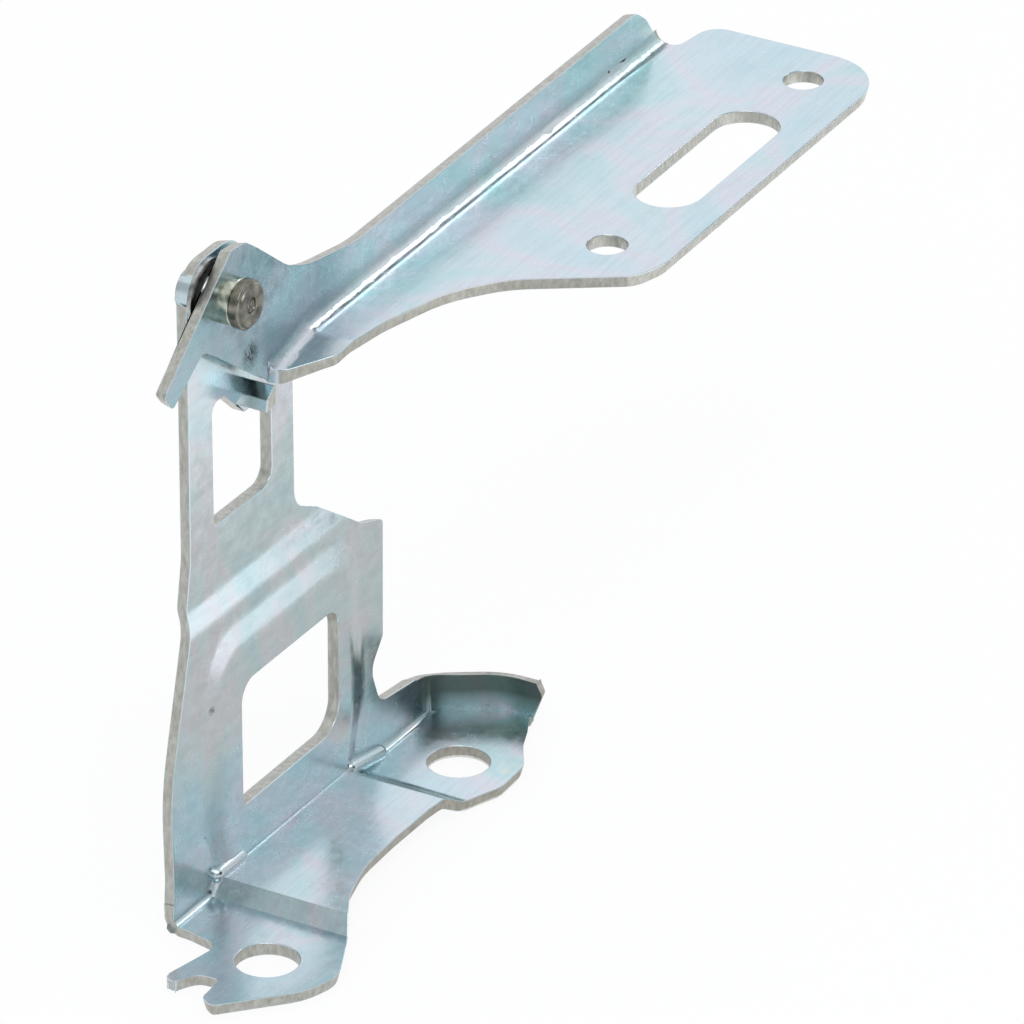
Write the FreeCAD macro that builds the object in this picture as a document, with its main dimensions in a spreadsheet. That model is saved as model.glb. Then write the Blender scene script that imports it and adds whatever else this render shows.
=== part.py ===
import FreeCAD, Part
import math
import os
import Sketcher

# Bonnet hinge: a pressed base bracket, a pressed bonnet arm and the riveted pivot between them.
# Working axes: x runs along the fold of the base bracket, y toward the wing side of the web,
# z up. Zero is the inner corner of the fold, on the upper face of the two bolt pads.

os.makedirs("parts", exist_ok=True)
doc = FreeCAD.newDocument("bonnet_hinge")
sheet = doc.addObject("Spreadsheet::Sheet", "sizes")
sheet.Label = "sizes"
values = {}


def size(name, value):
    row = len(values) + 1
    sheet.set("A%d" % row, name)
    sheet.set("B%d" % row, str(value))
    sheet.setAlias("B%d" % row, name)
    values[name] = value


# Sheet metal, the place of the frame's origin and the clearances
size("gauge", 3.0)
size("originX", 38.0)
size("originY", 20.7)
size("runningFit", 0.05)
size("pressFit", 0.02)
size("bushRelief", 0.1)

# Foot of the base bracket: two bolt pads with a raised middle between them
size("padHoleRadius", 7.0)
size("padOneX", -8.7)
size("padOneY", -24.5)
size("padTwoX", 84.7)
size("padTwoY", -16.9)
size("footRaise", 3.8)
size("nearRampStart", 8.0)
size("nearRampRun", 2.8)
size("farRampStart", 63.6)
size("farRampRun", 6.6)
size("foldRadius", 1.8)
size("stripNearX", -32.0)
size("stripFarX", 120.0)
size("stripReach", 48.0)
size("foldWallTop", 26.0)

# Web and neck of the base bracket
size("webNearX", -6.6)
size("webFarX", 81.7)
size("upperWallFoot", 18.0)
size("wallTop", 160.0)
size("shoulderZ", 60.2)
size("neckNearX", 4.85)
size("neckFarX", 47.0)
size("neckSet", 1.2)
size("setStart", 64.8)
size("setEnd", 70.8)
size("setRadius", 12.0)

# Lip that carries the web round the end of the far pad
size("lipStartX", 94.0)
size("lipEndX", 110.0)
size("lipEndY", -23.5)
size("lipHeight", 10.8)
size("lipFall", 2.3)
size("lipTurnX", 101.3)
size("lipTurnY", -13.5)
size("lipTurnRadius", 8.0)
size("lipEndRadius", 16.0)

# Pressed ring and window of the web, window of the neck
size("ringDepth", 1.2)
size("ringNearX", 7.0)
size("ringFarX", 70.6)
size("ringTopZ", 61.2)
size("ringSlope", 6.0)
size("windowNearX", 20.6)
size("windowFarX", 60.6)
size("windowLowZ", 16.2)
size("windowTopZ", 45.8)
size("neckWindowNearX", 14.5)
size("neckWindowFarX", 38.0)
size("neckWindowLowZ", 86.2)
size("neckWindowTopZ", 115.0)

# Stop tab turned out of the neck
size("tabX", 23.6)
size("tabZ", 110.7)
size("tabReach", 7.6)

# Beads pressed into the fold at both ends of the raised middle
size("beadRadius", 1.9)
size("beadSet", 0.2)
size("nearBeadStart", 10.8)
size("farBeadStart", 66.4)
size("nearBeadLength", 8.8)
size("farBeadLength", 12.0)
size("farBeadLevel", 2.4)
size("farBeadFall", 2.2)

# Pivot stack
size("pivotX", 13.0)
size("pivotZ", 141.8)
size("eyeReach", 7.8)
size("eyeRise", 8.3)
size("shankRadius", 3.95)
size("bushRadius", 4.75)
size("bushFlangeRadius", 6.6)
size("bushFlangeThick", 0.7)
size("washerRadius", 8.0)
size("washerThick", 1.0)
size("collarRadius", 5.2)
size("collarLength", 3.5)
size("collarChamfer", 0.3)
size("headRadius", 5.5)
size("headLength", 3.0)
size("headChamfer", 0.9)
size("grooveDepth", 0.45)
size("dimpleRadius", 2.0)
size("dimpleDepth", 0.7)
size("rearHeadRadius", 5.6)
size("rearHeadLength", 2.0)
size("rearHeadDome", 1.2)

# Bonnet arm
size("armTilt", 1.5)
size("armLevel", 119.58)
size("armBendX", 44.0)
size("armDip", 15.2)
size("armFoldRadius", 3.4)
size("armNearX", -20.0)
size("armFarX", 219.0)
size("armReach", 64.0)
size("flangeEndX", 198.4)
size("plateEndX", 209.2)
size("plateEdgeY", -56.0)
size("armHoleRadius", 4.5)
size("armHoleNearX", 107.9)
size("armHoleFarX", 195.6)
size("armHoleY", -40.8)
size("slotStartX", 135.7)
size("slotEndX", 169.6)
size("slotY", -40.4)
size("slotRadius", 7.7)
doc.recompute()


# Sizes are written as sums of sheet names and numbers, such as "pivotZ + eyeRise":
# worth gives the sum its number and bound gives the expression that ties it to the sheet.
def worth(text):
    total = 0.0
    sign = 1
    for word in str(text).split():
        if word in ("+", "-"):
            sign = 1 if word == "+" else -1
        else:
            total += sign * (values[word] if word in values else float(word))
    return total


def bound(text):
    return " ".join("sizes." + word if word in values else word for word in str(text).split())


def minus(text):
    return "0 - (%s)" % bound(text)


def vector(a, b, c=0.0):
    return FreeCAD.Vector(a, b, c)


# A named offset, length or place of an object takes its number now and its expression for later
def tie(item, path, text, sign=1):
    item.setExpression(path, bound(text) if sign > 0 else minus(text))


# Sketch of a closed outline from corners (a, b, corner radius). A radius of zero leaves the
# corner sharp; a rounded corner keeps a construction point where its two sides would meet.
def profile(body, name, role, corners, offset="0"):
    sketch = body.newObject("Sketcher::SketchObject", name)
    plane = [item for item in body.Origin.OriginFeatures if item.Role == role][0]
    sketch.AttachmentSupport = [(plane, "")]
    sketch.MapMode = "FlatFace"
    toward = -1 if role == "XZ_Plane" else 1
    sketch.AttachmentOffset = FreeCAD.Placement(vector(0, 0, toward * worth(offset)), FreeCAD.Rotation())
    tie(sketch, "AttachmentOffset.Base.z", offset, toward)
    count = len(corners)
    spots = [vector(worth(a), worth(b)) for a, b, r in corners]
    ends = []
    for i in range(count):
        radius = worth(corners[i][2])
        before = (spots[i - 1] - spots[i]).normalize()
        after = (spots[(i + 1) % count] - spots[i]).normalize()
        if radius <= 0:
            ends.append((spots[i], spots[i]))
            continue
        half = before.getAngle(after) / 2
        reach = radius / math.tan(half)
        centre = spots[i] + (before + after).normalize() * (radius / math.sin(half))
        ends.append((spots[i] + before * reach, spots[i] + after * reach, centre, radius))
    for i in range(count):
        sketch.addGeometry(Part.LineSegment(ends[i][1], ends[(i + 1) % count][0]), False)
    rules = []
    ties = []
    for i in range(count):
        last = (i - 1) % count
        if len(ends[i]) == 2:
            rules.append(Sketcher.Constraint("Coincident", last, 2, i, 1))
            spot = (i, 1)
        else:
            start, stop, centre, radius = ends[i]
            leftTurn = (start - centre).cross(stop - centre).z > 0
            first, final = (start, stop) if leftTurn else (stop, start)
            angles = [math.atan2(p.y - centre.y, p.x - centre.x) for p in (first, final)]
            if angles[1] < angles[0]:
                angles[1] += 2 * math.pi
            circle = Part.Circle(centre, vector(0, 0, 1), radius)
            arc = sketch.addGeometry(Part.ArcOfCircle(circle, angles[0], angles[1]), False)
            corner = sketch.addGeometry(Part.Point(spots[i]), True)
            enters, leaves = (1, 2) if leftTurn else (2, 1)
            rules.append(Sketcher.Constraint("Tangent", last, 2, arc, enters))
            rules.append(Sketcher.Constraint("Tangent", arc, leaves, i, 1))
            ties.append((len(rules), bound(corners[i][2])))
            rules.append(Sketcher.Constraint("Radius", arc, radius))
            rules.append(Sketcher.Constraint("PointOnObject", corner, 1, last))
            rules.append(Sketcher.Constraint("PointOnObject", corner, 1, i))
            spot = (corner, 1)
        for kind, text, place in (
                ("DistanceX", corners[i][0], spots[i].x), ("DistanceY", corners[i][1], spots[i].y)):
            if abs(place) < 0.0001:
                axis = -2 if kind == "DistanceX" else -1
                rules.append(Sketcher.Constraint("PointOnObject", spot[0], spot[1], axis))
                continue
            ties.append((len(rules), bound(text) if place > 0 else minus(text)))
            if place > 0:
                rules.append(Sketcher.Constraint(kind, -1, 1, spot[0], spot[1], place))
            else:
                rules.append(Sketcher.Constraint(kind, spot[0], spot[1], -1, 1, -place))
    sketch.addConstraint(rules)
    for rule, text in ties:
        sketch.setExpression("Constraints[%d]" % rule, text)
    return sketch


# Pad of an outline: on the foot it rises along z, on the web it runs along y, across it runs
# along x. A climb makes the pad run obliquely, higher at its far end.
def pad(body, name, role, corners, start, depth, climb=None):
    sketch = profile(body, name + "_outline", role, corners, start)
    form = body.newObject("PartDesign::Pad", name)
    form.Profile = sketch
    form.Length = worth(depth)
    form.Reversed = role == "XZ_Plane"
    tie(form, "Length", depth)
    if climb is not None:
        form.UseCustomVector = True
        form.AlongSketchNormal = True
        form.Direction = vector(worth(depth), 0, worth(climb))
        tie(form, "Direction.x", depth)
        tie(form, "Direction.z", climb)
    return form


def blank(name, role, corners, start, depth):
    body = doc.addObject("PartDesign::Body", name)
    pad(body, name + "_pad", role, corners, start, depth)
    return body


def combine(kind, base, tool):
    form = doc.addObject("Part::" + kind, "%s_%s" % (kind.lower(), tool.Name))
    form.Base = base
    form.Tool = tool
    return form


def drill(name, radius, places, depth):
    hole = doc.addObject("Part::Cylinder", name)
    hole.Radius = worth(radius)
    tie(hole, "Radius", radius)
    hole.Height = depth
    for axis, text in zip("xyz", places):
        tie(hole, "Placement.Base.%s" % axis, text)
    return hole


def alongY(item):
    item.Placement = FreeCAD.Placement(vector(0, 0), FreeCAD.Rotation(vector(1, 0, 0), -90))


# The finished piece moves from the working zero to the frame of the part
def finish(item, label):
    item.Label = label
    item.Refine = True
    tie(item, "Placement.Base.x", "0 - originX")
    tie(item, "Placement.Base.y", "originY")
    tie(item, "Placement.Base.z", "gauge")
    return item


# Section of a folded angle in the yz plane: its wall stands up from the fold and its plate
# runs toward -y at the given level
def angle(wallFront, wallTop, level, radius, reach):
    return [
        (wallFront, wallTop, 0), (wallFront, level, radius), ("0 - " + reach, level, 0),
        ("0 - " + reach, level + " - gauge", 0),
        (wallFront + " + gauge", level + " - gauge", radius + " + gauge"),
        (wallFront + " + gauge", wallTop, 0)]


# Base bracket: the strip is folded once, its foot rising to the middle and falling to the far pad
strip = doc.addObject("PartDesign::Body", "bracket_strip")
runs = [
    ("near_pad", "0", "stripNearX", "nearRampStart", "0"),
    ("near_ramp", "0", "nearRampStart", "nearRampStart + nearRampRun", "footRaise"),
    ("middle", "footRaise", "nearRampStart + nearRampRun", "farRampStart", "0"),
    ("far_ramp", "footRaise", "farRampStart", "farRampStart + farRampRun", "0 - footRaise"),
    ("far_pad", "0", "farRampStart + farRampRun", "stripFarX", "0")]
for name, level, start, stop, climb in runs:
    backward = " ".join({"+": "-", "-": "+"}.get(word, word) for word in start.split())
    length = stop + " - " + backward
    pad(strip, name, "YZ_Plane", angle("0", "foldWallTop", level, "foldRadius", "stripReach"), start, length, climb)

# Upper web, set back at the crease where the neck begins
webSection = [
    ("0", "upperWallFoot", 0), ("gauge", "upperWallFoot", 0), ("gauge", "setStart", "setRadius"),
    ("neckSet + gauge", "setEnd", "setRadius"), ("neckSet + gauge", "wallTop", 0),
    ("neckSet", "wallTop", 0), ("neckSet", "setEnd", "setRadius"), ("0", "setStart", "setRadius")]
pad(strip, "upper_web", "YZ_Plane", webSection, "stripNearX", "stripFarX - stripNearX")

webOutline = [
    ("webNearX", -6, 0), ("webNearX + 0.7", 10, 25), ("webNearX", 31, 60), (1.0, 60, 40),
    (3.0, 67.5, 6), (2.9, 71, 6), ("neckNearX", 82, 20), ("pivotX - eyeReach", "pivotZ + eyeRise", 8.4),
    ("pivotX + 11.4", "pivotZ + eyeRise + 0.3", 8.0), ("neckFarX", 118, 6),
    ("neckFarX", "setEnd + 5.4", 6), (56.5, "setEnd + 0.8", 8), (73, "shoulderZ", 12),
    ("webFarX", "shoulderZ - 3.0", 1.6), ("webFarX - 0.4", 28.5, 2), ("webFarX - 5.6", 22.4, 5),
    ("webFarX - 1.9", 12.6, 4.5), ("lipStartX + 1", "lipHeight", 0), ("lipStartX + 1", -6, 0)]
footOutline = [
    ("webNearX + 0.3", 4, 0), ("webNearX", -3.4, 8), ("webNearX - 2.0", -12.3, 3.4),
    (-24.0, -9.3, 3), (-28.0, -10.6, 1.5), (-21.0, -15.2, 2.5), (-20.6, -19.9, 1.3),
    (-28.6, -20.4, 2), (-30.8, -23.8, 2), (-15.4, -38.4, 16), (-6.6, -41.0, 8), (6, -35.4, 10),
    (18, -29.0, 20), (30, -25.8, 30), (44, -25.2, 20), (58, -25.3, 12), (68.4, -26.2, 8),
    (80, -30.8, 8), (90, -30.4, 7), (98, -25.6, 12), (103.8, -23.4, 3), ("lipEndX - 1", -20.8, 4),
    ("lipEndX + 4", -19.4, 0), ("lipEndX + 4", 4, 0)]
keepWeb = blank(
    "web_outline", "XZ_Plane", webOutline, "0 - foldRadius - 0.6", "foldRadius + gauge + neckSet + 1.6")
keepFoot = blank("foot_outline", "XY_Plane", footOutline, "0 - gauge - 1", "gauge + footRaise + 2")
bracket = combine("Common", strip, combine("Fuse", keepWeb, keepFoot))


# Path of the lip's inner face round the pad, moved outward by a distance
def lipPath(out):
    turn = math.atan2(-worth("lipTurnY"), worth("lipEndX - lipTurnX"))
    rest = math.pi / 2 - turn
    first = (worth("lipTurnX") + out * math.tan(turn / 2), out, worth("lipTurnRadius") + out)
    second = (worth("lipEndX") + out, worth("lipTurnY") + out * math.tan(rest / 2), worth("lipEndRadius") + out)
    return [(worth("lipStartX"), out, 0), first, second]


thick = worth("gauge")
lipInner = lipPath(0.0)
lipOuter = lipPath(thick)
lipEnd = worth("lipEndY") - 1
lipWall = lipOuter + [(lipOuter[2][0], lipEnd, 0), (lipInner[2][0], lipEnd, 0)]
lipWall = lipWall + lipInner[:0:-1] + [lipInner[0]]
lipOutside = [(worth("lipEndX") + 8, lipEnd - 2, 0), (worth("lipEndX") + 8, 8, 0), (worth("lipStartX"), 8, 0)]
lipOutside = lipOutside + lipOuter + [(lipOuter[2][0], lipEnd - 2, 0)]
lip = blank("lip_wall", "XY_Plane", lipWall, "0 - gauge", "gauge + lipHeight + 1")
lipCrest = [
    ("lipStartX - 4", "lipHeight", 0), ("lipStartX", "lipHeight", 6),
    ("lipStartX + 10", "lipHeight - lipFall + 0.2", 12), ("lipEndX + 8", "lipHeight - lipFall", 0),
    ("lipEndX + 8", 30, 0), ("lipStartX - 4", 30, 0)]
lipCut = [
    ("lipEndY - 8", 30, 0), ("lipEndY + 1.7", 30, 0), ("lipEndY + 1.5", "lipHeight - lipFall - 0.1", 1.6),
    ("lipEndY", 5.6, 2.2), ("lipEndY + 3", -2.2, 1.5),
    ("lipEndY + 3", -8, 0), ("lipEndY - 8", -8, 0)]
lip = combine("Cut", lip, blank("lip_crest", "XZ_Plane", lipCrest, "0 - stripReach", "stripReach + 10"))
lip = combine("Cut", lip, blank("lip_end", "YZ_Plane", lipCut, "lipStartX + 8", "30"))
bracket = combine("Cut", bracket, blank("lip_outside", "XY_Plane", lipOutside, "0 - gauge - 1", "40"))
bracket = combine("Fuse", bracket, lip)

# Pressed ring round the web window: raised in front, recessed by the same depth behind
ringOuter = [
    ("ringNearX + 4.4", None, 0), ("ringNearX", 16, 14), ("ringNearX", "ringTopZ", 12),
    ("ringFarX", "ringTopZ", 11), ("ringFarX + 2", 20, 16), ("ringFarX - 2.6", None, 0)]
ringInner = [
    ("ringNearX + ringSlope + 3.8", None, 0), ("ringNearX + ringSlope", 15, 12),
    ("ringNearX + ringSlope", "ringTopZ - ringSlope - 0.4", 7),
    ("ringFarX - ringSlope + 0.8", "ringTopZ - ringSlope - 0.4", 7),
    ("ringFarX - ringSlope + 2", 20, 14), ("ringFarX - ringSlope - 2", None, 0)]


def ringForm(name, front, foot):
    body = doc.addObject("PartDesign::Body", name)
    sketches = []
    for part, corners, depth in (("outer", ringOuter, front), ("inner", ringInner, front + " - ringDepth")):
        placed = [(a, foot if b is None else b, r) for a, b, r in corners]
        sketches.append(profile(body, "%s_%s" % (name, part), "XZ_Plane", placed, depth))
    loft = body.newObject("PartDesign::AdditiveLoft", name + "_loft")
    loft.Profile = sketches[0]
    loft.Sections = [sketches[1]]
    loft.Ruled = True
    return body


bracket = combine("Fuse", bracket, ringForm("ring_front", "0", "0.9"))
bracket = combine("Cut", bracket, ringForm("ring_back", "gauge", "-8"))

# Stop tab: the arm rests on its upper corner when the bonnet is shut
tabSection = [
    ("tabX", "tabZ", 0.5), ("tabX + 4.2", "tabZ + 0.8", 0.5), ("tabX + 4.0", "tabZ + 5.6", 0.5),
    ("tabX + 0.5", "tabZ + 3.0", 0.6)]
tab = blank("stop_tab", "XZ_Plane", tabSection, "neckSet - tabReach", "tabReach + gauge")
bracket = combine("Fuse", bracket, tab)

# Round-ended beads that stiffen the fold
beads = [
    ("near_bead", "nearBeadStart", "nearBeadLength", "footRaise", "0"),
    ("far_bead", "farBeadStart", "farBeadLength", "farBeadLevel", "farBeadFall")]
for name, start, run, level, fall in beads:
    for part, along, drop in (("start", "0", "0"), ("end", run, fall)):
        ball = doc.addObject("Part::Sphere", "%s_%s" % (name, part))
        ball.Radius = worth("beadRadius")
        tie(ball, "Radius", "beadRadius")
        tie(ball, "Placement.Base.x", start + " + " + along)
        tie(ball, "Placement.Base.y", "0 - beadSet")
        tie(ball, "Placement.Base.z", level + " + beadSet - " + drop)
        bracket = combine("Fuse", bracket, ball)
    bead = doc.addObject("Part::Cylinder", name)
    bead.Radius = worth("beadRadius")
    tie(bead, "Radius", "beadRadius")
    bead.Height = math.hypot(worth(run), worth(fall))
    tilt = 90 + math.degrees(math.atan2(worth(fall), worth(run)))
    bead.Placement = FreeCAD.Placement(vector(0, 0), FreeCAD.Rotation(vector(0, 1, 0), tilt))
    tie(bead, "Placement.Base.x", start)
    tie(bead, "Placement.Base.y", "0 - beadSet")
    tie(bead, "Placement.Base.z", level + " + beadSet")
    bracket = combine("Fuse", bracket, bead)

# Openings of the bracket
ringWindow = [
    ("windowNearX", "windowLowZ", 1.6), ("windowFarX", "windowLowZ", 7),
    ("windowFarX", "windowTopZ", 4.5), ("windowNearX", "windowTopZ", 5)]
neckWindow = [
    ("neckWindowNearX", "neckWindowLowZ", 1.6), ("neckWindowFarX", "neckWindowLowZ", 4),
    ("neckWindowFarX", "neckWindowTopZ - 7.4", 2.5), ("tabX + 3.6", "neckWindowTopZ - 7.4", 1.2),
    ("tabX - 4.4", "neckWindowTopZ", 1.0), ("neckWindowNearX", "neckWindowTopZ", 2.5)]
bracket = combine("Cut", bracket, blank("web_window", "XZ_Plane", ringWindow, "-6", "16"))
bracket = combine("Cut", bracket, blank("neck_window", "XZ_Plane", neckWindow, "neckSet - 1", "10"))
eye = drill("eye_hole", "shankRadius + pressFit", ("pivotX", "-2", "pivotZ"), 12)
alongY(eye)
bracket = combine("Cut", bracket, eye)
for name, x, y in (("near_hole", "padOneX", "padOneY"), ("far_hole", "padTwoX", "padTwoY")):
    bracket = combine("Cut", bracket, drill(name, "padHoleRadius", (x, y, "-8"), 16))
finish(bracket, "base_bracket")

# Bonnet arm: a folded strip whose plate dips behind the ear; levels follow the tilt of the arm
slope = math.tan(math.radians(values["armTilt"]))
dip = math.tan(math.radians(values["armDip"]))
earBack = "neckSet - washerThick - bushFlangeThick"
earFront = earBack + " - gauge"
bendLevel = "%.6f" % (worth("armLevel") + slope * worth("armBendX"))
armSection = angle(earFront, "pivotZ + 24", bendLevel, "armFoldRadius", "armReach")
armStrip = doc.addObject("PartDesign::Body", "arm_strip")
forward = worth("armFarX - armBendX")
pad(armStrip, "arm_plate", "YZ_Plane", armSection, "armBendX", "armFarX - armBendX", "%.6f" % (forward * slope))
root = pad(armStrip, "arm_root", "YZ_Plane", armSection, "armBendX", "armBendX - armNearX", None)
root.UseCustomVector = True
root.AlongSketchNormal = True
root.Direction = vector(-worth("armBendX - armNearX"), 0, -worth("armBendX - armNearX") * dip)

earOutline = [
    ("pivotX - 24.7", "pivotZ - 12.4", 1.6), ("pivotX - 21.4", "pivotZ - 16.6", 1.6),
    ("pivotX - 9.1", "pivotZ - 8.6", 2.6), ("pivotX - 3.7", "pivotZ - 12.1", 5), (23.8, 119.0, 0),
    (29.4, 115.4, 0), (29.4, 105, 0), ("flangeEndX", 105, 0), ("flangeEndX", 122.4, 1),
    ("flangeEndX - 7", 132.4, 5), ("flangeEndX - 11.4", 135.7, 4), (66, 132.2, 40), (46.5, 135.2, 30),
    (38, 138.6, 16), ("pivotX + 13", "pivotZ + 6.2", 2), ("pivotX + 8.4", "pivotZ + 9.5", 4),
    ("pivotX + 2.6", "pivotZ + 10.1", 2.5)]
plateOutline = [
    (29.4, earFront, 0), (30.6, -5.2, 2), (39.8, -14.5, 5), (55.6, -16.7, 30), (73, -21.6, 30),
    (84.0, -30.2, 25), (98.2, -53.4, 8), (106, "plateEdgeY", 10), ("plateEndX", "plateEdgeY", 15),
    ("plateEndX", -10.0, 5.5), ("flangeEndX - 1", -8.4, 2.4), ("flangeEndX - 2.6", earFront, 0)]
keepEar = blank("ear_outline", "XZ_Plane", earOutline, earFront, "gauge + 1")
keepPlate = blank("plate_outline", "XY_Plane", plateOutline, "armLevel - 20", "36")
arm = combine("Common", armStrip, combine("Fuse", keepEar, keepPlate))
bore = drill("ear_bore", "bushRadius + pressFit", ("pivotX", earFront + " - 4", "pivotZ"), 12)
alongY(bore)
arm = combine("Cut", arm, bore)
tilted = FreeCAD.Placement(vector(0, 0), FreeCAD.Rotation(vector(0, 1, 0), -values["armTilt"]))
below = 8.0
for name, x in (("arm_hole_near", "armHoleNearX"), ("arm_hole_far", "armHoleFarX")):
    hole = drill(name, "armHoleRadius", (x, "armHoleY", "0"), 2 * below)
    hole.Placement = tilted
    tie(hole, "Placement.Base.x", x)
    tie(hole, "Placement.Base.y", "armHoleY")
    tie(hole, "Placement.Base.z", "armLevel + %.6f" % (worth(x) * slope - below))
    arm = combine("Cut", arm, hole)
for name, x in (("slot_start", "slotStartX"), ("slot_end", "slotEndX")):
    arm = combine("Cut", arm, drill(name, "slotRadius", (x, "slotY", "armLevel - 20"), 40))
slotBox = doc.addObject("Part::Box", "slot_middle")
slotBox.Height = 40
tie(slotBox, "Length", "slotEndX - slotStartX")
tie(slotBox, "Width", "slotRadius + slotRadius")
tie(slotBox, "Placement.Base.x", "slotStartX")
tie(slotBox, "Placement.Base.y", "slotY - slotRadius")
tie(slotBox, "Placement.Base.z", "armLevel - 20")
arm = combine("Cut", arm, slotBox)
finish(arm, "bonnet_arm")


# Turned pieces: corners are (radius, distance along the pivot axis) and turn about that axis
def turned(name, corners):
    body = doc.addObject("PartDesign::Body", name)
    sketch = profile(body, name + "_outline", "XY_Plane", [(a, b, 0) for a, b in corners])
    turn = body.newObject("PartDesign::Revolution", name + "_turn")
    turn.Profile = sketch
    turn.ReferenceAxis = (sketch, ["V_Axis"])
    turn.Angle = 360
    body.Label = name
    tie(body, "Placement.Base.x", "pivotX - originX")
    tie(body, "Placement.Base.y", "originY")
    tie(body, "Placement.Base.z", "pivotZ + gauge")
    return body


neckBack = "neckSet + gauge"
washerFace = "neckSet - washerThick"
collarFace = earFront + " - collarLength"
headFace = collarFace + " - headLength"
rearFace = neckBack + " + rearHeadLength"
freeBore = "shankRadius + runningFit"
tightBore = "shankRadius + pressFit"
rivet = turned("pivot_rivet", [
    ("0", rearFace), ("rearHeadRadius - rearHeadDome", rearFace),
    ("rearHeadRadius", rearFace + " - rearHeadDome + 0.2"), ("rearHeadRadius", neckBack),
    ("shankRadius", neckBack), ("shankRadius", collarFace),
    ("headRadius - grooveDepth", collarFace), ("headRadius", collarFace + " - grooveDepth"),
    ("headRadius", headFace + " + headChamfer"), ("headRadius - headChamfer", headFace),
    ("dimpleRadius", headFace), ("dimpleRadius - dimpleDepth", headFace + " + dimpleDepth"),
    ("0", headFace + " + dimpleDepth")])
bush = turned("pivot_bush", [
    (freeBore, washerFace), ("bushFlangeRadius", washerFace), ("bushFlangeRadius", earBack),
    ("bushRadius", earBack), ("bushRadius", earFront + " + bushRelief"),
    (freeBore, earFront + " + bushRelief")])
washer = turned("thrust_washer", [
    (tightBore, "neckSet"), ("washerRadius", "neckSet"), ("washerRadius", washerFace),
    (tightBore, washerFace)])
collar = turned("rivet_collar", [
    (tightBore, earFront), ("collarRadius", earFront), ("collarRadius", collarFace + " + collarChamfer"),
    ("collarRadius - collarChamfer", collarFace), (tightBore, collarFace)])

doc.recompute()
nodes = [bracket, arm, rivet, bush, washer, collar]
for item in doc.Objects:
    state = [word for word in item.State if word in ("Invalid", "Error")]
    if state:
        raise SystemExit("%s is %s" % (item.Name, state))
for item in nodes:
    shape = item.Shape
    if shape.isNull() or not shape.isValid() or len(shape.Solids) != 1:
        raise SystemExit("%s: null %s, solids %d, valid %s" % (
            item.Label, shape.isNull(), len(shape.Solids), shape.isValid()))
    box = shape.BoundBox
    print(item.Label, "volume %.1f" % shape.Volume, "x %.2f %.2f y %.2f %.2f z %.2f %.2f" % (
        box.XMin, box.XMax, box.YMin, box.YMax, box.ZMin, box.ZMax))
    shape.exportStep("parts/%s.step" % item.Label)
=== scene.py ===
import math
import bmesh
import bpy
from mathutils import Matrix, Vector
from mathutils.bvhtree import BVHTree


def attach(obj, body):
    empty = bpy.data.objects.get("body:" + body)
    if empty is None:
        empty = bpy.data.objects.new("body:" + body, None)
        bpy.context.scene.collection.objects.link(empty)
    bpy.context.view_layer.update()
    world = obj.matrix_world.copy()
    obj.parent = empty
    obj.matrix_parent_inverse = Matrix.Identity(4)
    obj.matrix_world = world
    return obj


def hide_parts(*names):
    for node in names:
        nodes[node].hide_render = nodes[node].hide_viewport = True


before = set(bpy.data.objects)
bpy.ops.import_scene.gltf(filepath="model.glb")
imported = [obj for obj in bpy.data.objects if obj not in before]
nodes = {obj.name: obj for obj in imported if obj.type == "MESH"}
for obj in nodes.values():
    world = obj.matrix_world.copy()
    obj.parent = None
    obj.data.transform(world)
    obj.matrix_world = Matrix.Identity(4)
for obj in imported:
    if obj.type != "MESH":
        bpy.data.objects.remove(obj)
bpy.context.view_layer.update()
print("frame loaded:", sorted(nodes))

# sockets of the Mix node when it mixes colours
mixShare = 0
mixFirst = 6
mixSecond = 7
mixResult = 2


def toLinear(hexCode):
    parts = [int(hexCode[i:i + 2], 16) / 255 for i in (1, 3, 5)]
    return tuple(p / 12.92 if p <= 0.04045 else ((p + 0.055) / 1.055) ** 2.4 for p in parts) + (1.0,)


def addNode(tree, kind, settings=None, links=None):
    # settings go to the node, its sockets or, as "stops", its colour ramp; links are
    # {input: output socket}
    node = tree.nodes.new(kind)
    for key, value in (settings or {}).items():
        if key == "stops":
            setStops(node.color_ramp.elements, value)
        elif isinstance(key, str) and hasattr(node, key):
            setattr(node, key, value)
        else:
            node.inputs[key].default_value = value
    for key, source in (links or {}).items():
        tree.links.new(source, node.inputs[key])
    return node


def setStops(elements, stops):
    # each stop is a place and a colour, which is a hex code or a grey from 0 to 1
    while len(elements) > 1:
        elements.remove(elements[-1])
    for i, (place, colour) in enumerate(stops):
        element = elements[0] if i == 0 else elements.new(place)
        element.position = place
        element.color = toLinear(colour) if isinstance(colour, str) else (colour, colour, colour, 1)


def newMaterial(name):
    material = bpy.data.materials.new(name)
    material.use_nodes = True
    tree = material.node_tree
    tree.nodes.clear()
    return material, tree


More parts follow.
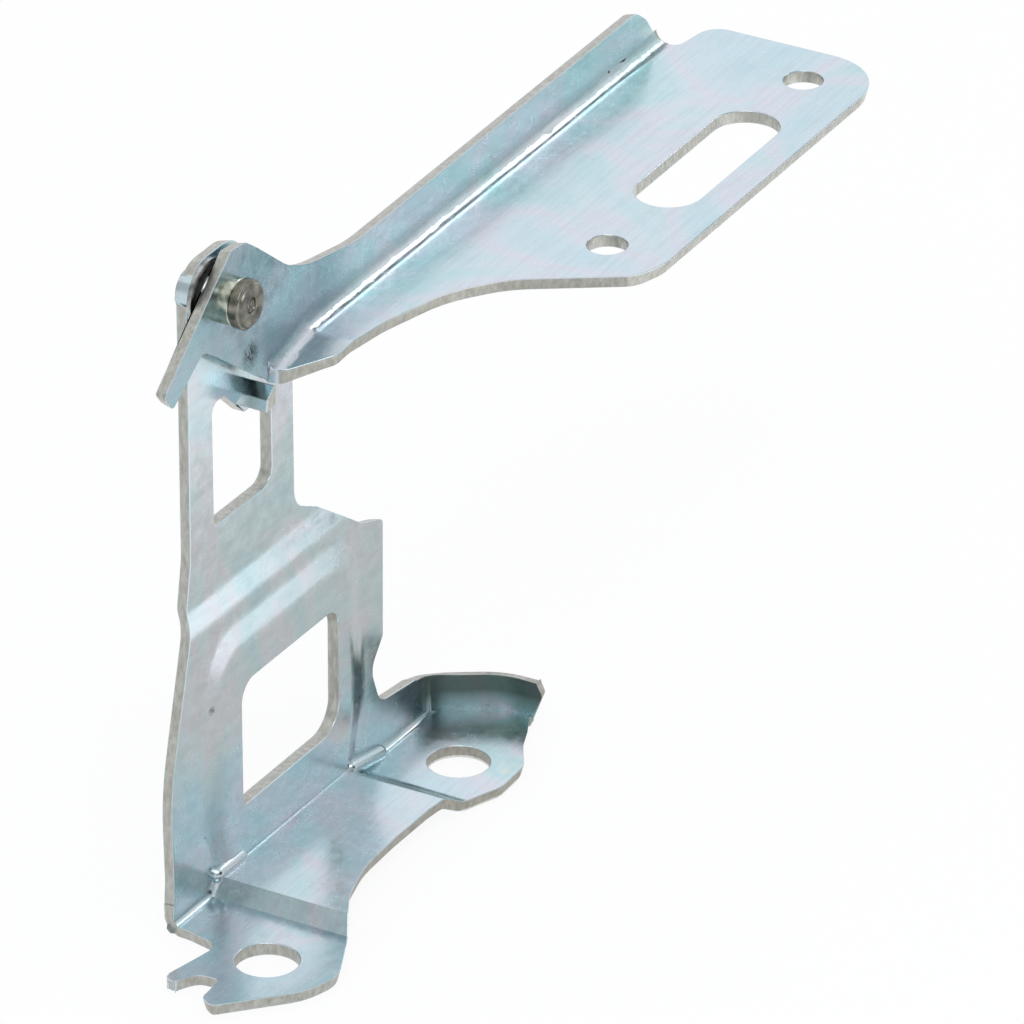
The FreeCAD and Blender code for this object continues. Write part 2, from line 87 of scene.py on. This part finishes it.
# Zinc plated steel: cold rolled sheet, pressed, then blue passivated
# gives the eye a pale blue grey sheen with soft patches of cyan, lavender and pale straw, fine lines
# drawn along the pressing and small handling marks
zincSheet = {
    "tone": "#C0D2DB",
    "bloom": [(0.24, "#ABC7D3"), (0.37, "#BCD4DA"), (0.46, "#C5D5DB"), (0.53, "#D0D2DA"),
              (0.59, "#C6D6DB"), (0.68, "#B7D4D7"), (0.78, "#D0DACF"), (0.90, "#B5CFD8")],
    "bloomSize": 0.034,
    "bloomMix": 0.85,
    "rough": (0.17, 0.30),
    "roughSpecks": (0.3, 0.7),
    "speckSize": 0.0035,
    "speckTones": [(0.30, 0.78), (0.58, 1.0)],
    "speckMix": 0.30,
    "drawSize": 0.0011,       # lines left by the sheet sliding over the die
    "drawScale": (0.12, 1.0, 0.5),   # along X, Y and Z: the smaller, the longer the lines
    "drawTones": [(0.34, 0.86), (0.56, 1.0)],
    "drawMix": 0.45,
    "drawBump": 0.05,
    "drawDepth": 0.0002,
    "dentSize": 0.011,
    "dentBump": 0.10,
    "dentDepth": 0.0009,
    # a scratch on the web, which starts and is full at the two distances of "reach"
    "mark": {"centre": (-0.0285, 0.0207, 0.0477), "reach": (0.0013, 0.00052), "size": 0.0007,
             "tones": [(0.40, 0.05), (0.50, 1.0), (0.60, 0.10)]},
    # painted shade on the lip: a darker, greener tint that stands in for the dark reflections making it
    # look darker than its neighbours; the lip is also made duller
    "paintedShade": {"tone": "#8C918A", "fade": {"X": (0.0560, 0.0610), "Z": (0.0030, 0.0080)}, "facing": None,
             "dull": 0.22},
}
# the arm has a galled patch low on its ear, and painted shade, a slightly darker tint, on the ear's face
# that looks to -Y
armSheet = dict(
    zincSheet, tone="#BFD3DC", bloomSize=0.042, drawScale=(0.06, 1.0, 1.0), dentBump=0.13,
    mark=dict(zincSheet["mark"], centre=(-0.0156, 0.0172, 0.1274), reach=(0.0040, 0.0016), size=0.0013),
    paintedShade={"tone": "#BCCBCF", "fade": {"X": (0.030, 0.014)}, "facing": (-0.5, -0.9), "dull": 0.02})


def paintedShadeShare(tree, where, paintedShade):
    # the share of painted shade: grows from 0 to 1 along each axis of "fade", and as the face turns from
    # the first to the second Y of "facing"
    place = addNode(tree, "ShaderNodeSeparateXYZ", None, {"Vector": where})
    ranges = [(place.outputs[axis], ends) for axis, ends in paintedShade["fade"].items()]
    if paintedShade["facing"]:
        turned = addNode(tree, "ShaderNodeSeparateXYZ", None, {
            "Vector": addNode(tree, "ShaderNodeTexCoord").outputs["Normal"]})
        ranges.append((turned.outputs["Y"], paintedShade["facing"]))
    share = None
    for value, (start, full) in ranges:
        step = addNode(tree, "ShaderNodeMapRange", {"From Min": start, "From Max": full}, {"Value": value})
        if share is None:
            share = step.outputs["Result"]
        else:
            share = addNode(tree, "ShaderNodeMath", {"operation": "MULTIPLY"}, {
                0: share, 1: step.outputs["Result"]}).outputs["Value"]
    return share


def sheetColour(tree, where, speck, drawn, look):
    # the sheen of the passivation, then specks and drawn lines over it
    cloud = addNode(tree, "ShaderNodeTexNoise", {
        "Scale": 1 / look["bloomSize"], "Detail": 3.0, "Distortion": 1.1}, {"Vector": where})
    bloom = addNode(tree, "ShaderNodeValToRGB", {"stops": look["bloom"]}, {"Fac": cloud.outputs["Fac"]})
    colour = addNode(tree, "ShaderNodeMix", {
        "data_type": "RGBA", mixShare: look["bloomMix"], mixFirst: toLinear(look["tone"])},
        {mixSecond: bloom.outputs["Color"]}).outputs[mixResult]
    for pattern, tones, share in ((speck, "speckTones", "speckMix"), (drawn, "drawTones", "drawMix")):
        shade = addNode(tree, "ShaderNodeValToRGB", {"stops": look[tones]}, {"Fac": pattern})
        colour = addNode(tree, "ShaderNodeMix", {
            "data_type": "RGBA", "blend_type": "MULTIPLY", mixShare: look[share]},
            {mixFirst: colour, mixSecond: shade.outputs["Color"]}).outputs[mixResult]
    return colour


def markedColour(tree, where, colour, mark):
    # torn lines, full in the middle of the mark and gone at its edge
    away = addNode(tree, "ShaderNodeVectorMath", {"operation": "DISTANCE", 1: mark["centre"]}, {0: where})
    start, full = mark["reach"]
    near = addNode(tree, "ShaderNodeMapRange", {"From Min": start, "From Max": full}, {
        "Value": away.outputs["Value"]})
    torn = addNode(tree, "ShaderNodeTexNoise", {"Scale": 1 / mark["size"], "Distortion": 1.5}, {
        "Vector": where})
    shade = addNode(tree, "ShaderNodeValToRGB", {"stops": mark["tones"]}, {"Fac": torn.outputs["Fac"]})
    return addNode(tree, "ShaderNodeMix", {"data_type": "RGBA", "blend_type": "MULTIPLY"}, {
        mixShare: near.outputs["Result"], mixFirst: colour,
        mixSecond: shade.outputs["Color"]}).outputs[mixResult]


def zincMaterial(name, look):
    material, tree = newMaterial(name)
    where = addNode(tree, "ShaderNodeTexCoord").outputs["Object"]
    speck = addNode(tree, "ShaderNodeTexNoise", {
        "Scale": 1 / look["speckSize"], "Detail": 5.0, "Roughness": 0.7}, {"Vector": where})
    stretch = addNode(tree, "ShaderNodeMapping", {"Scale": look["drawScale"]}, {"Vector": where})
    drawn = addNode(tree, "ShaderNodeTexNoise", {
        "Scale": 1 / look["drawSize"], "Detail": 3.0, "Roughness": 0.6}, {
        "Vector": stretch.outputs["Vector"]})
    dents = addNode(tree, "ShaderNodeTexNoise", {"Scale": 1 / look["dentSize"], "Roughness": 0.4}, {
        "Vector": where})

    # painted shade: a darker tint laid over the colour where its share grows, and a little more roughness
    # there
    paintedShade = paintedShadeShare(tree, where, look["paintedShade"])
    colour = sheetColour(tree, where, speck.outputs["Fac"], drawn.outputs["Fac"], look)
    shadePainted = addNode(tree, "ShaderNodeMix", {
        "data_type": "RGBA", "blend_type": "MULTIPLY", mixSecond: toLinear(look["paintedShade"]["tone"])},
        {mixShare: paintedShade, mixFirst: colour})
    marked = markedColour(tree, where, shadePainted.outputs[mixResult], look["mark"])

    wave = addNode(tree, "ShaderNodeBump", {"Strength": look["dentBump"], "Distance": look["dentDepth"]}, {
        "Height": dents.outputs["Fac"]})
    fine = addNode(tree, "ShaderNodeBump", {"Strength": look["drawBump"], "Distance": look["drawDepth"]}, {
        "Height": drawn.outputs["Fac"], "Normal": wave.outputs["Normal"]})
    rough = addNode(tree, "ShaderNodeMapRange", {
        "From Min": look["roughSpecks"][0], "From Max": look["roughSpecks"][1],
        "To Min": look["rough"][0], "To Max": look["rough"][1]}, {"Value": speck.outputs["Fac"]})
    dull = addNode(tree, "ShaderNodeMath", {"operation": "MULTIPLY_ADD", 1: look["paintedShade"]["dull"]}, {
        0: paintedShade, 2: rough.outputs["Result"]})
    surface = addNode(tree, "ShaderNodeBsdfPrincipled", {"Metallic": 1.0}, {
        "Base Color": marked, "Roughness": dull.outputs["Value"], "Normal": fine.outputs["Normal"]})
    addNode(tree, "ShaderNodeOutputMaterial", None, {"Surface": surface.outputs["BSDF"]})
    return material


# Cut edge of the same sheet: sheared, half torn, thinly plated
# gives the eye a warmer, duller grey band with streaks across the thickness
cutEdge = {
    "tones": [(0.28, "#9B9B94"), (0.46, "#ACADA7"), (0.64, "#BDBEB9")],
    "streakSize": 0.0011,
    "streakStretch": (1.0, 1.0, 0.35),
    "rough": 0.42,
    "bump": 0.35,
    "depth": 0.0002,
}


def cutMaterial(name, look):
    material, tree = newMaterial(name)
    stretch = addNode(tree, "ShaderNodeMapping", {"Scale": look["streakStretch"]}, {
        "Vector": addNode(tree, "ShaderNodeTexCoord").outputs["Object"]})
    streak = addNode(tree, "ShaderNodeTexNoise", {
        "Scale": 1 / look["streakSize"], "Detail": 3.0, "Roughness": 0.7}, {
        "Vector": stretch.outputs["Vector"]})
    tone = addNode(tree, "ShaderNodeValToRGB", {"stops": look["tones"]}, {"Fac": streak.outputs["Fac"]})
    bump = addNode(tree, "ShaderNodeBump", {"Strength": look["bump"], "Distance": look["depth"]}, {
        "Height": streak.outputs["Fac"]})
    surface = addNode(tree, "ShaderNodeBsdfPrincipled", {"Metallic": 1.0, "Roughness": look["rough"]}, {
        "Base Color": tone.outputs["Color"], "Normal": bump.outputs["Normal"]})
    addNode(tree, "ShaderNodeOutputMaterial", None, {"Surface": surface.outputs["BSDF"]})
    return material


# Turned steel of the rivet: fine rings left by the tool
# gives the eye a slightly yellow, satin cylinder with thin bright and dark rings
turnedSteel = {"tones": [(0.25, "#5B5A50"), (0.48, "#74736A"), (0.72, "#94928A")],
               "ring": 0.0007, "ringBump": 0.9, "rough": 0.24, "metallic": 1.0}
# Turned and zinc plated collar
# gives the eye a paler, slightly green band under the rivet's head
collarZinc = {"tones": [(0.28, "#6E7468"), (0.45, "#A3A99B"), (0.64, "#CCD2C6")],
              "ring": 0.0009, "ringBump": 0.35, "rough": 0.24, "metallic": 1.0}
# Bare turned washer
# gives the eye a plain grey rim
washerSteel = {"tones": [(0.30, "#77797A"), (0.62, "#B9BCBB")],
               "ring": 0.0004, "ringBump": 0.2, "rough": 0.30, "metallic": 1.0}
# Bush coloured near black: painted shade for the narrow gap between washer and ear
# gives the eye a dark edge beside the washer
bushPaintedDark = {"tones": [(0.30, "#1B1A18"), (0.62, "#2C2A27")],
              "ring": 0.0008, "ringBump": 0.1, "rough": 0.5, "metallic": 0.6}
turning = {
    "pivot": (-0.025, 0, 0.1448),   # the axis runs along Y through this point
    "waveStep": 0.31,               # distance between two rings of the wave at scale 1
    "ringDepth": 0.00022,
    "blotchSize": 0.0022,
}


def turnedMaterial(name, look):
    material, tree = newMaterial(name)
    where = addNode(tree, "ShaderNodeTexCoord").outputs["Object"]
    # measured from the pivot axis, so that the rings run round it
    fromAxis = addNode(tree, "ShaderNodeMapping", {
        "Location": tuple(-part for part in turning["pivot"])}, {"Vector": where})
    rings = addNode(tree, "ShaderNodeTexWave", {
        "wave_type": "RINGS", "rings_direction": "Y", "Scale": turning["waveStep"] / look["ring"],
        "Distortion": 0.0, "Detail": 0.0}, {"Vector": fromAxis.outputs["Vector"]})
    blotch = addNode(tree, "ShaderNodeTexNoise", {"Scale": 1 / turning["blotchSize"]}, {"Vector": where})
    tone = addNode(tree, "ShaderNodeValToRGB", {"stops": look["tones"]}, {"Fac": blotch.outputs["Fac"]})
    bump = addNode(tree, "ShaderNodeBump", {
        "Strength": look["ringBump"], "Distance": turning["ringDepth"]}, {"Height": rings.outputs["Fac"]})
    surface = addNode(tree, "ShaderNodeBsdfPrincipled", {
        "Metallic": look["metallic"], "Roughness": look["rough"]},
        {"Base Color": tone.outputs["Color"], "Normal": bump.outputs["Normal"]})
    addNode(tree, "ShaderNodeOutputMaterial", None, {"Surface": surface.outputs["BSDF"]})
    return material


bracketZinc = zincMaterial("zinc plated steel, bracket", zincSheet)
armZinc = zincMaterial("zinc plated steel, arm", armSheet)
shearedEdge = cutMaterial("sheared edge of plated sheet", cutEdge)
rivetSteel = turnedMaterial("turned and formed rivet steel", turnedSteel)
collarSteel = turnedMaterial("zinc plated turned collar", collarZinc)
rimSteel = turnedMaterial("turned washer steel", washerSteel)
# the bush's near black colour is painted shade for the gap beside the washer
bushShadeMaterial = turnedMaterial("dark lined bush", bushPaintedDark)
print("materials made")


# Pressed pieces: the frame's own sheet shapes. The cut edges are told from the rolled faces by the
# wall behind them. The folds of ramps and ring are soft, the outline on the die side is drawn in,
# and the cut edges are broken.
pressed = {
    "thin": 0.0021,           # a rolled face has a wall between these two behind it
    "thick": 0.0041,
    "skin": 0.0001,           # the wall is measured from this far under the face
    "upward": 0.3,            # least Z of the normal of a face that looks up
    "weld": 0.00012,
    "sliver": 0.00001,
    "bevelSliver": 0.00002,
    "flatTurn": math.radians(0.4),
    "softFold": 0.0012,
    "foldSteps": 4,
    "foldTurn": (math.radians(8), math.radians(50)),
    "narrowest": 0.0012,      # the strips of a tight fold are narrower than this and stay as they are
    "level": 0.00005,         # an edge of the ring runs at one depth to within this
    "drawnIn": 0.0008,
    "brokenEdge": 0.00022,
    "edgeSteps": 2,
    "cutTurn": math.radians(40),
    "sharpTurn": math.radians(50),
    "shadeWeight": 80,
}
sheetSlot = 0
cutSlot = 1


def insideAny(spot, places, *kinds):
    boxes = [box for kind in kinds for box in places.get(kind, [])]
    return any(all(low[k] <= spot[k] <= high[k] for k in range(3)) for low, high in boxes)


def edgeMiddle(edge):
    return (edge.verts[0].co + edge.verts[1].co) / 2


def sortFaces(work, look, places):
    # a point well inside each face, then the wall behind it
    inside = {}
    for loops in work.calc_loop_triangles():
        a, b, c = (loop.vert.co for loop in loops)
        area = (b - a).cross(c - a).length
        face = loops[0].face
        if face not in inside or area > inside[face][0]:
            inside[face] = (area, (a + b + c) / 3)
    tree = BVHTree.FromBMesh(work)
    for face in work.faces:
        spot = inside[face][1]
        hit = tree.ray_cast(spot - face.normal * look["skin"], -face.normal)
        isSheet = hit[0] is not None and look["thin"] < hit[3] + look["skin"] < look["thick"]
        if insideAny(spot, places, "beads"):
            isSheet = True
        if face.normal.z > look["upward"] and insideAny(spot, places, "foot"):
            isSheet = True
        face.material_index = sheetSlot if isSheet else cutSlot
        face.smooth = True


def edgeChains(edges):
    # edges that touch make one chain
    pool = set(edges)
    chains = []
    for start in edges:
        if start not in pool:
            continue
        pool.remove(start)
        chain = [start]
        for edge in chain:
            for vert in edge.verts:
                for other in vert.link_edges:
                    if other in pool:
                        pool.remove(other)
                        chain.append(other)
        chains.append(chain)
    return chains


def bevelChains(work, edges, offset, segments):
    for chain in edgeChains(edges):
        alive = [edge for edge in chain if edge.is_valid]
        bmesh.ops.bevel(work, geom=alive, offset=offset, offset_type="OFFSET", segments=segments,
                        profile=0.5, affect="EDGES", clamp_overlap=False, material=sheetSlot)


def softEdges(work, look, places):
    # the folds between rolled faces, apart from the lip's and the narrow strips of tight folds
    found = []
    for edge in work.edges:
        middle = edgeMiddle(edge)
        if len(edge.link_faces) != 2 or any(face.material_index == cutSlot for face in edge.link_faces):
            continue
        if insideAny(middle, places, "lip"):
            continue
        if not look["foldTurn"][0] < edge.calc_face_angle(0.0) < look["foldTurn"][1]:
            continue
        width = min(face.calc_area() for face in edge.link_faces) / edge.calc_length()
        level = abs(edge.verts[0].co.y - edge.verts[1].co.y) < look["level"]
        if width > look["narrowest"] or (level and insideAny(middle, places, "ring")):
            found.append(edge)
    return found


def cutEdges(work, look, places, *apart):
    # each edge between a rolled and a cut face, with the two faces in that order
    found = []
    for edge in work.edges:
        if len(edge.link_faces) != 2 or insideAny(edgeMiddle(edge), places, *apart):
            continue
        faces = sorted(edge.link_faces, key=lambda face: face.material_index)
        mixed = faces[0].material_index != faces[1].material_index
        if mixed and edge.calc_face_angle(0.0) > look["cutTurn"]:
            found.append((edge, *faces))
    return found


def drawInDieSide(work, look, places):
    punchSide = Vector(places["punchSide"]).normalized()
    moves = {}
    for edge, sheetFace, cutFace in cutEdges(work, look, places, "still", "openings"):
        if sheetFace.normal.dot(punchSide) < 0:
            for vert in edge.verts:
                outs, sides = moves.setdefault(vert, (Vector(), Vector()))
                outs += cutFace.normal
                sides += sheetFace.normal
    for vert, (outs, sides) in moves.items():
        side = sides.normalized()
        vert.co -= (outs - side * outs.dot(side)).normalized() * look["drawnIn"]
    work.normal_update()


def keepWithin(work, mesh):
    # nothing reaches past the frame's own piece
    reach = [(min(v.co[k] for v in mesh.vertices), max(v.co[k] for v in mesh.vertices)) for k in range(3)]
    for vert in work.verts:
        vert.co = [min(max(vert.co[k], reach[k][0]), reach[k][1]) for k in range(3)]
    work.normal_update()


def pressedPiece(name, node, body, faceMaterial, look, places):
    mesh = nodes[node].data.copy()
    work = bmesh.new()
    work.from_mesh(mesh)
    bmesh.ops.remove_doubles(work, verts=work.verts, dist=look["weld"])
    bmesh.ops.dissolve_degenerate(work, dist=look["sliver"], edges=work.edges)
    bmesh.ops.dissolve_limit(work, angle_limit=look["flatTurn"], verts=work.verts, edges=work.edges)
    work.normal_update()
    sortFaces(work, look, places)
    bevelChains(work, softEdges(work, look, places), look["softFold"], look["foldSteps"])
    bmesh.ops.dissolve_degenerate(work, dist=look["bevelSliver"], edges=work.edges)
    work.normal_update()
    drawInDieSide(work, look, places)
    broken = [found[0] for found in cutEdges(work, look, places, "still", "unbroken")]
    bevelChains(work, broken, look["brokenEdge"], look["edgeSteps"])
    keepWithin(work, mesh)
    for edge in work.edges:
        edge.smooth = edge.calc_face_angle(0.0) < look["sharpTurn"]
    # the materials go in before the faces, which keep their slots only then
    mesh.materials.clear()
    mesh.materials.append(faceMaterial)
    mesh.materials.append(shearedEdge)
    work.to_mesh(mesh)
    work.free()
    piece = bpy.data.objects.new(name, mesh)
    bpy.context.scene.collection.objects.link(piece)
    shade = piece.modifiers.new("face weighted shading", "WEIGHTED_NORMAL")
    shade.keep_sharp = True
    shade.weight = look["shadeWeight"]
    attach(piece, body)
    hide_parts(node)


# Boxes, each from its low to its high corner, that pick out parts of the bracket
bracketPlaces = {
    "punchSide": (-0.4, -1, 1),   # a rolled face turned away from this lies on the die side
    # the rims of these show the full wall
    "openings": [
        ((-0.0200, -0.002, 0.0170), (0.0250, 0.030, 0.0510)),     # window of the web
        ((-0.0245, -0.002, 0.0870), (0.0010, 0.030, 0.1200)),     # window of the neck
        ((-0.0550, -0.0125, -0.001), (-0.0385, 0.0045, 0.004)),   # near bolt hole
        ((0.0385, -0.0045, -0.001), (0.0550, 0.0115, 0.004)),     # far bolt hole
        ((-0.0300, 0.010, 0.1390), (-0.0200, 0.030, 0.1500)),     # pivot bore
    ],
    # the pressed ring's folds are soft although the faces beside them are narrow
    "ring": [((-0.036, 0.0170, 0.0145), (0.038, 0.0212, 0.068))],
    # the lip keeps the facets of the frame
    "lip": [((0.0540, -0.030, 0.0034), (0.080, 0.030, 0.040))],
    # corners where three folds run together keep the frame's shape
    "still": [
        ((0.0545, 0.0170, -0.001), (0.0590, 0.0260, 0.0065)),
        ((-0.0300, 0.0170, 0.0020), (-0.0260, 0.0215, 0.0060)),
    ],
    # tight corners that a broken edge would fold over
    "unbroken": [
        ((-0.0600, 0.0195, -0.001), (-0.0400, 0.0260, 0.0045)),
        ((0.0715, -0.0035, 0.0100), (0.0760, 0.0010, 0.0135)),
    ],
    # rolled faces although the wall behind them is deep: the beads, and what looks up on the foot
    "beads": [
        ((-0.0400, 0.0060, 0.0031), (-0.0200, 0.0206, 0.0125)),
        ((0.0280, 0.0060, 0.0031), (0.0450, 0.0206, 0.0125)),
    ],
    "foot": [((-0.0700, -0.0300, -0.001), (0.0550, 0.0215, 0.0125))],
}
armPlaces = {
    "punchSide": (0, -1, 1),
    "openings": [
        ((0.0640, -0.0260, 0.110), (0.0760, -0.0140, 0.135)),     # near bolt hole
        ((0.1520, -0.0260, 0.110), (0.1640, -0.0140, 0.135)),     # far bolt hole
        ((0.0890, -0.0282, 0.110), (0.1400, -0.0110, 0.135)),     # slot
    ],
}
pressedPiece("pressedBracket", "base_bracket", "base", bracketZinc, pressed, bracketPlaces)
pressedPiece("pressedArm", "bonnet_arm", "arm", armZinc, pressed, armPlaces)

# the turned pieces keep the frame's shapes
turnedPieces = {
    "pivot_rivet": rivetSteel,
    "thrust_washer": rimSteel,
    "rivet_collar": collarSteel,
    "pivot_bush": bushShadeMaterial,
}
for node, material in turnedPieces.items():
    data = nodes[node].data
    data.materials.clear()
    data.materials.append(material)
print("pressed and turned pieces finished")


# Studio: white air and floor, soft boxes above, cards and sheets round the object
studio = {
    "target": (0.02, 0.0, 0.08),
    "floorSize": (3.2, 3.2),
    "floorDrop": 0.0002,
    "floorTone": "#F4F4F4",
    "floorGlow": 0.90,
    "worldTone": "#EEF2F5",
    "worldLight": 0.95,
}
white = (1, 1, 1, 1)
target = Vector(studio["target"])


def seenShare(tree):
    # 1 for what is looked at, mirrored or seen through, 0 for what only lights the object
    path = addNode(tree, "ShaderNodeLightPath")
    share = path.outputs["Is Camera Ray"]
    for kind in ("Is Glossy Ray", "Is Transmission Ray"):
        share = addNode(tree, "ShaderNodeMath", {"operation": "MAXIMUM"}, {
            0: share, 1: path.outputs[kind]}).outputs["Value"]
    return share


def flatMesh(name, size, material):
    wide, high = size[0] / 2, size[1] / 2
    corners = [(-wide, -high, 0), (wide, -high, 0), (wide, high, 0), (-wide, high, 0)]
    mesh = bpy.data.meshes.new(name)
    mesh.from_pydata(corners, [], [(0, 1, 2, 3)])
    mesh.materials.append(material)
    return mesh


# Pale studio floor: gives the eye plain white ground and the metal some light from below
floorMaterial, tree = newMaterial("pale studio floor")
share = addNode(tree, "ShaderNodeMath", {"operation": "MULTIPLY", 1: studio["floorGlow"]}, {
    0: seenShare(tree)})
paint = addNode(tree, "ShaderNodeBsdfDiffuse", {"Color": toLinear(studio["floorTone"])})
glow = addNode(tree, "ShaderNodeEmission", {"Color": white, "Strength": 1.0})
mix = addNode(tree, "ShaderNodeMixShader", None, {
    0: share.outputs["Value"], 1: paint.outputs[0], 2: glow.outputs[0]})
addNode(tree, "ShaderNodeOutputMaterial", None, {"Surface": mix.outputs[0]})
floor = bpy.data.objects.new("floor", flatMesh("floor", studio["floorSize"], floorMaterial))
floor.location = (0, 0, -studio["floorDrop"])
bpy.context.scene.collection.objects.link(floor)

world = bpy.data.worlds.new("studio air")
bpy.context.scene.world = world
world.use_nodes = True
tree = world.node_tree
tree.nodes.clear()
light = addNode(tree, "ShaderNodeBackground", {
    "Color": toLinear(studio["worldTone"]), "Strength": studio["worldLight"]})
air = addNode(tree, "ShaderNodeBackground", {"Color": white, "Strength": 1.0})
mix = addNode(tree, "ShaderNodeMixShader", None, {
    0: seenShare(tree), 1: light.outputs[0], 2: air.outputs[0]})
addNode(tree, "ShaderNodeOutputWorld", None, {"Surface": mix.outputs[0]})


def fromTarget(turn, rise, distance):
    turn, rise = math.radians(turn), math.radians(rise)
    return (target.x + distance * math.cos(rise) * math.cos(turn),
            target.y + distance * math.cos(rise) * math.sin(turn),
            target.z + distance * math.sin(rise))


def softBox(name, place, size, power, tone):
    lamp = bpy.data.lights.new(name, "AREA")
    lamp.shape = "RECTANGLE"
    lamp.size, lamp.size_y = size
    lamp.energy = power
    lamp.color = toLinear(tone)[:3]
    box = bpy.data.objects.new(name, lamp)
    bpy.context.scene.collection.objects.link(box)
    box.location = place
    box.rotation_euler = (target - Vector(place)).to_track_quat("-Z", "Y").to_euler()


# name, place, size, power in watts, tone
softBoxes = [
    ("keyBox", (-0.9, -0.5, 1.5), (0.9, 0.9), 8.0, "#FFFFFF"),
    ("backBox", (0.9, 0.75, 0.75), (0.9, 0.9), 0.5, "#E8E4FF"),
    ("rootBox", fromTarget(-20, 40, 1.1), (0.22, 0.22), 0.7, "#FFFFFF"),
]
for name, place, size, power, tone in softBoxes:
    softBox(name, place, size, power, tone)


# Cards and sheets: the camera doesn't see them, the metal mirrors them
def studioCard(name, place, size, tone, glow=1.0, facing=None):
    # a card faces the object unless "facing" says where
    material, tree = newMaterial("card " + name)
    paint = addNode(tree, "ShaderNodeEmission", {"Color": toLinear(tone), "Strength": glow})
    addNode(tree, "ShaderNodeOutputMaterial", None, {"Surface": paint.outputs[0]})
    card = bpy.data.objects.new(name, flatMesh(name, size, material))
    bpy.context.scene.collection.objects.link(card)
    card.location = place
    aim = Vector(facing) if facing else target - Vector(place)
    card.rotation_euler = aim.to_track_quat("Z", "Y").to_euler()
    card.visible_camera = False
    card.visible_shadow = False
    card.visible_diffuse = False


# name, turn and rise in degrees and distance from the object, size, tone
cards = [
    ("gapCard", (8, 44, 1.1), (0.36, 0.36), "#5A6466"),
    ("farCard", (-36, 8, 1.1), (0.5, 0.34), "#D6DCDC"),
    ("lensCard", (-88, 26, 1.2), (1.0, 0.75), "#3C4341"),
    ("midCard", (-140, 26, 1.2), (1.4, 0.75), "#B4BAB6"),
    ("leftCard", (152, 28, 1.2), (0.9, 0.6), "#C4CACA"),
]
for name, direction, size, tone in cards:
    studioCard(name, fromTarget(*direction), size, tone)
# sheets flat on the floor: a wide bright one, a warm grey one near the object, and a small dark one
# that the arm's ear mirrors; name, place, size, tone, glow
sheets = [
    ("farSheet", (0.37, -0.28, 0.0002), (0.80, 0.80), "#FFFFFF", 1.5),
    ("nearSheet", (0.0800, -0.009, 0.0006), (0.220, 0.178), "#DFDCD8", 1.0),
    ("earSheet", (0.2850, -0.1200, 0.0009), (0.180, 0.054), "#3E4C52", 1.0),
]
for name, place, size, tone, glow in sheets:
    studioCard(name, place, size, tone, glow, (0, 0, 1))
print("studio set")

# Camera: the photo's angle, solved from hole rims, upright edges and fold lines
view = {
    "place": (-1.594453, -0.957287, 1.084608),
    "right": (0.49928498, -0.86643646, -0.00153816),
    "up": (0.41011301, 0.23476352, 0.88130211),
    "back": (-0.76323118, -0.44065173, 0.47255076),
    "sensor": 36,
    "lensPixels": 10000,      # focal length in the photo's own pixels
    "photoWidth": 1024,
    "near": 0.1,
    "far": 20,
}
camera = bpy.data.objects.new("camera", bpy.data.cameras.new("camera"))
bpy.context.scene.collection.objects.link(camera)
camera.data.sensor_width = view["sensor"]
camera.data.lens = view["sensor"] * view["lensPixels"] / view["photoWidth"]
camera.data.clip_start = view["near"]
camera.data.clip_end = view["far"]
turn = Matrix.Identity(4)
for column, axis in enumerate(("right", "up", "back", "place")):
    for row in range(3):
        turn[row][column] = view[axis][row]
camera.matrix_world = turn
bpy.context.scene.camera = camera
bpy.context.scene.view_settings.view_transform = "Standard"
print("camera set")

bpy.context.view_layer.update()
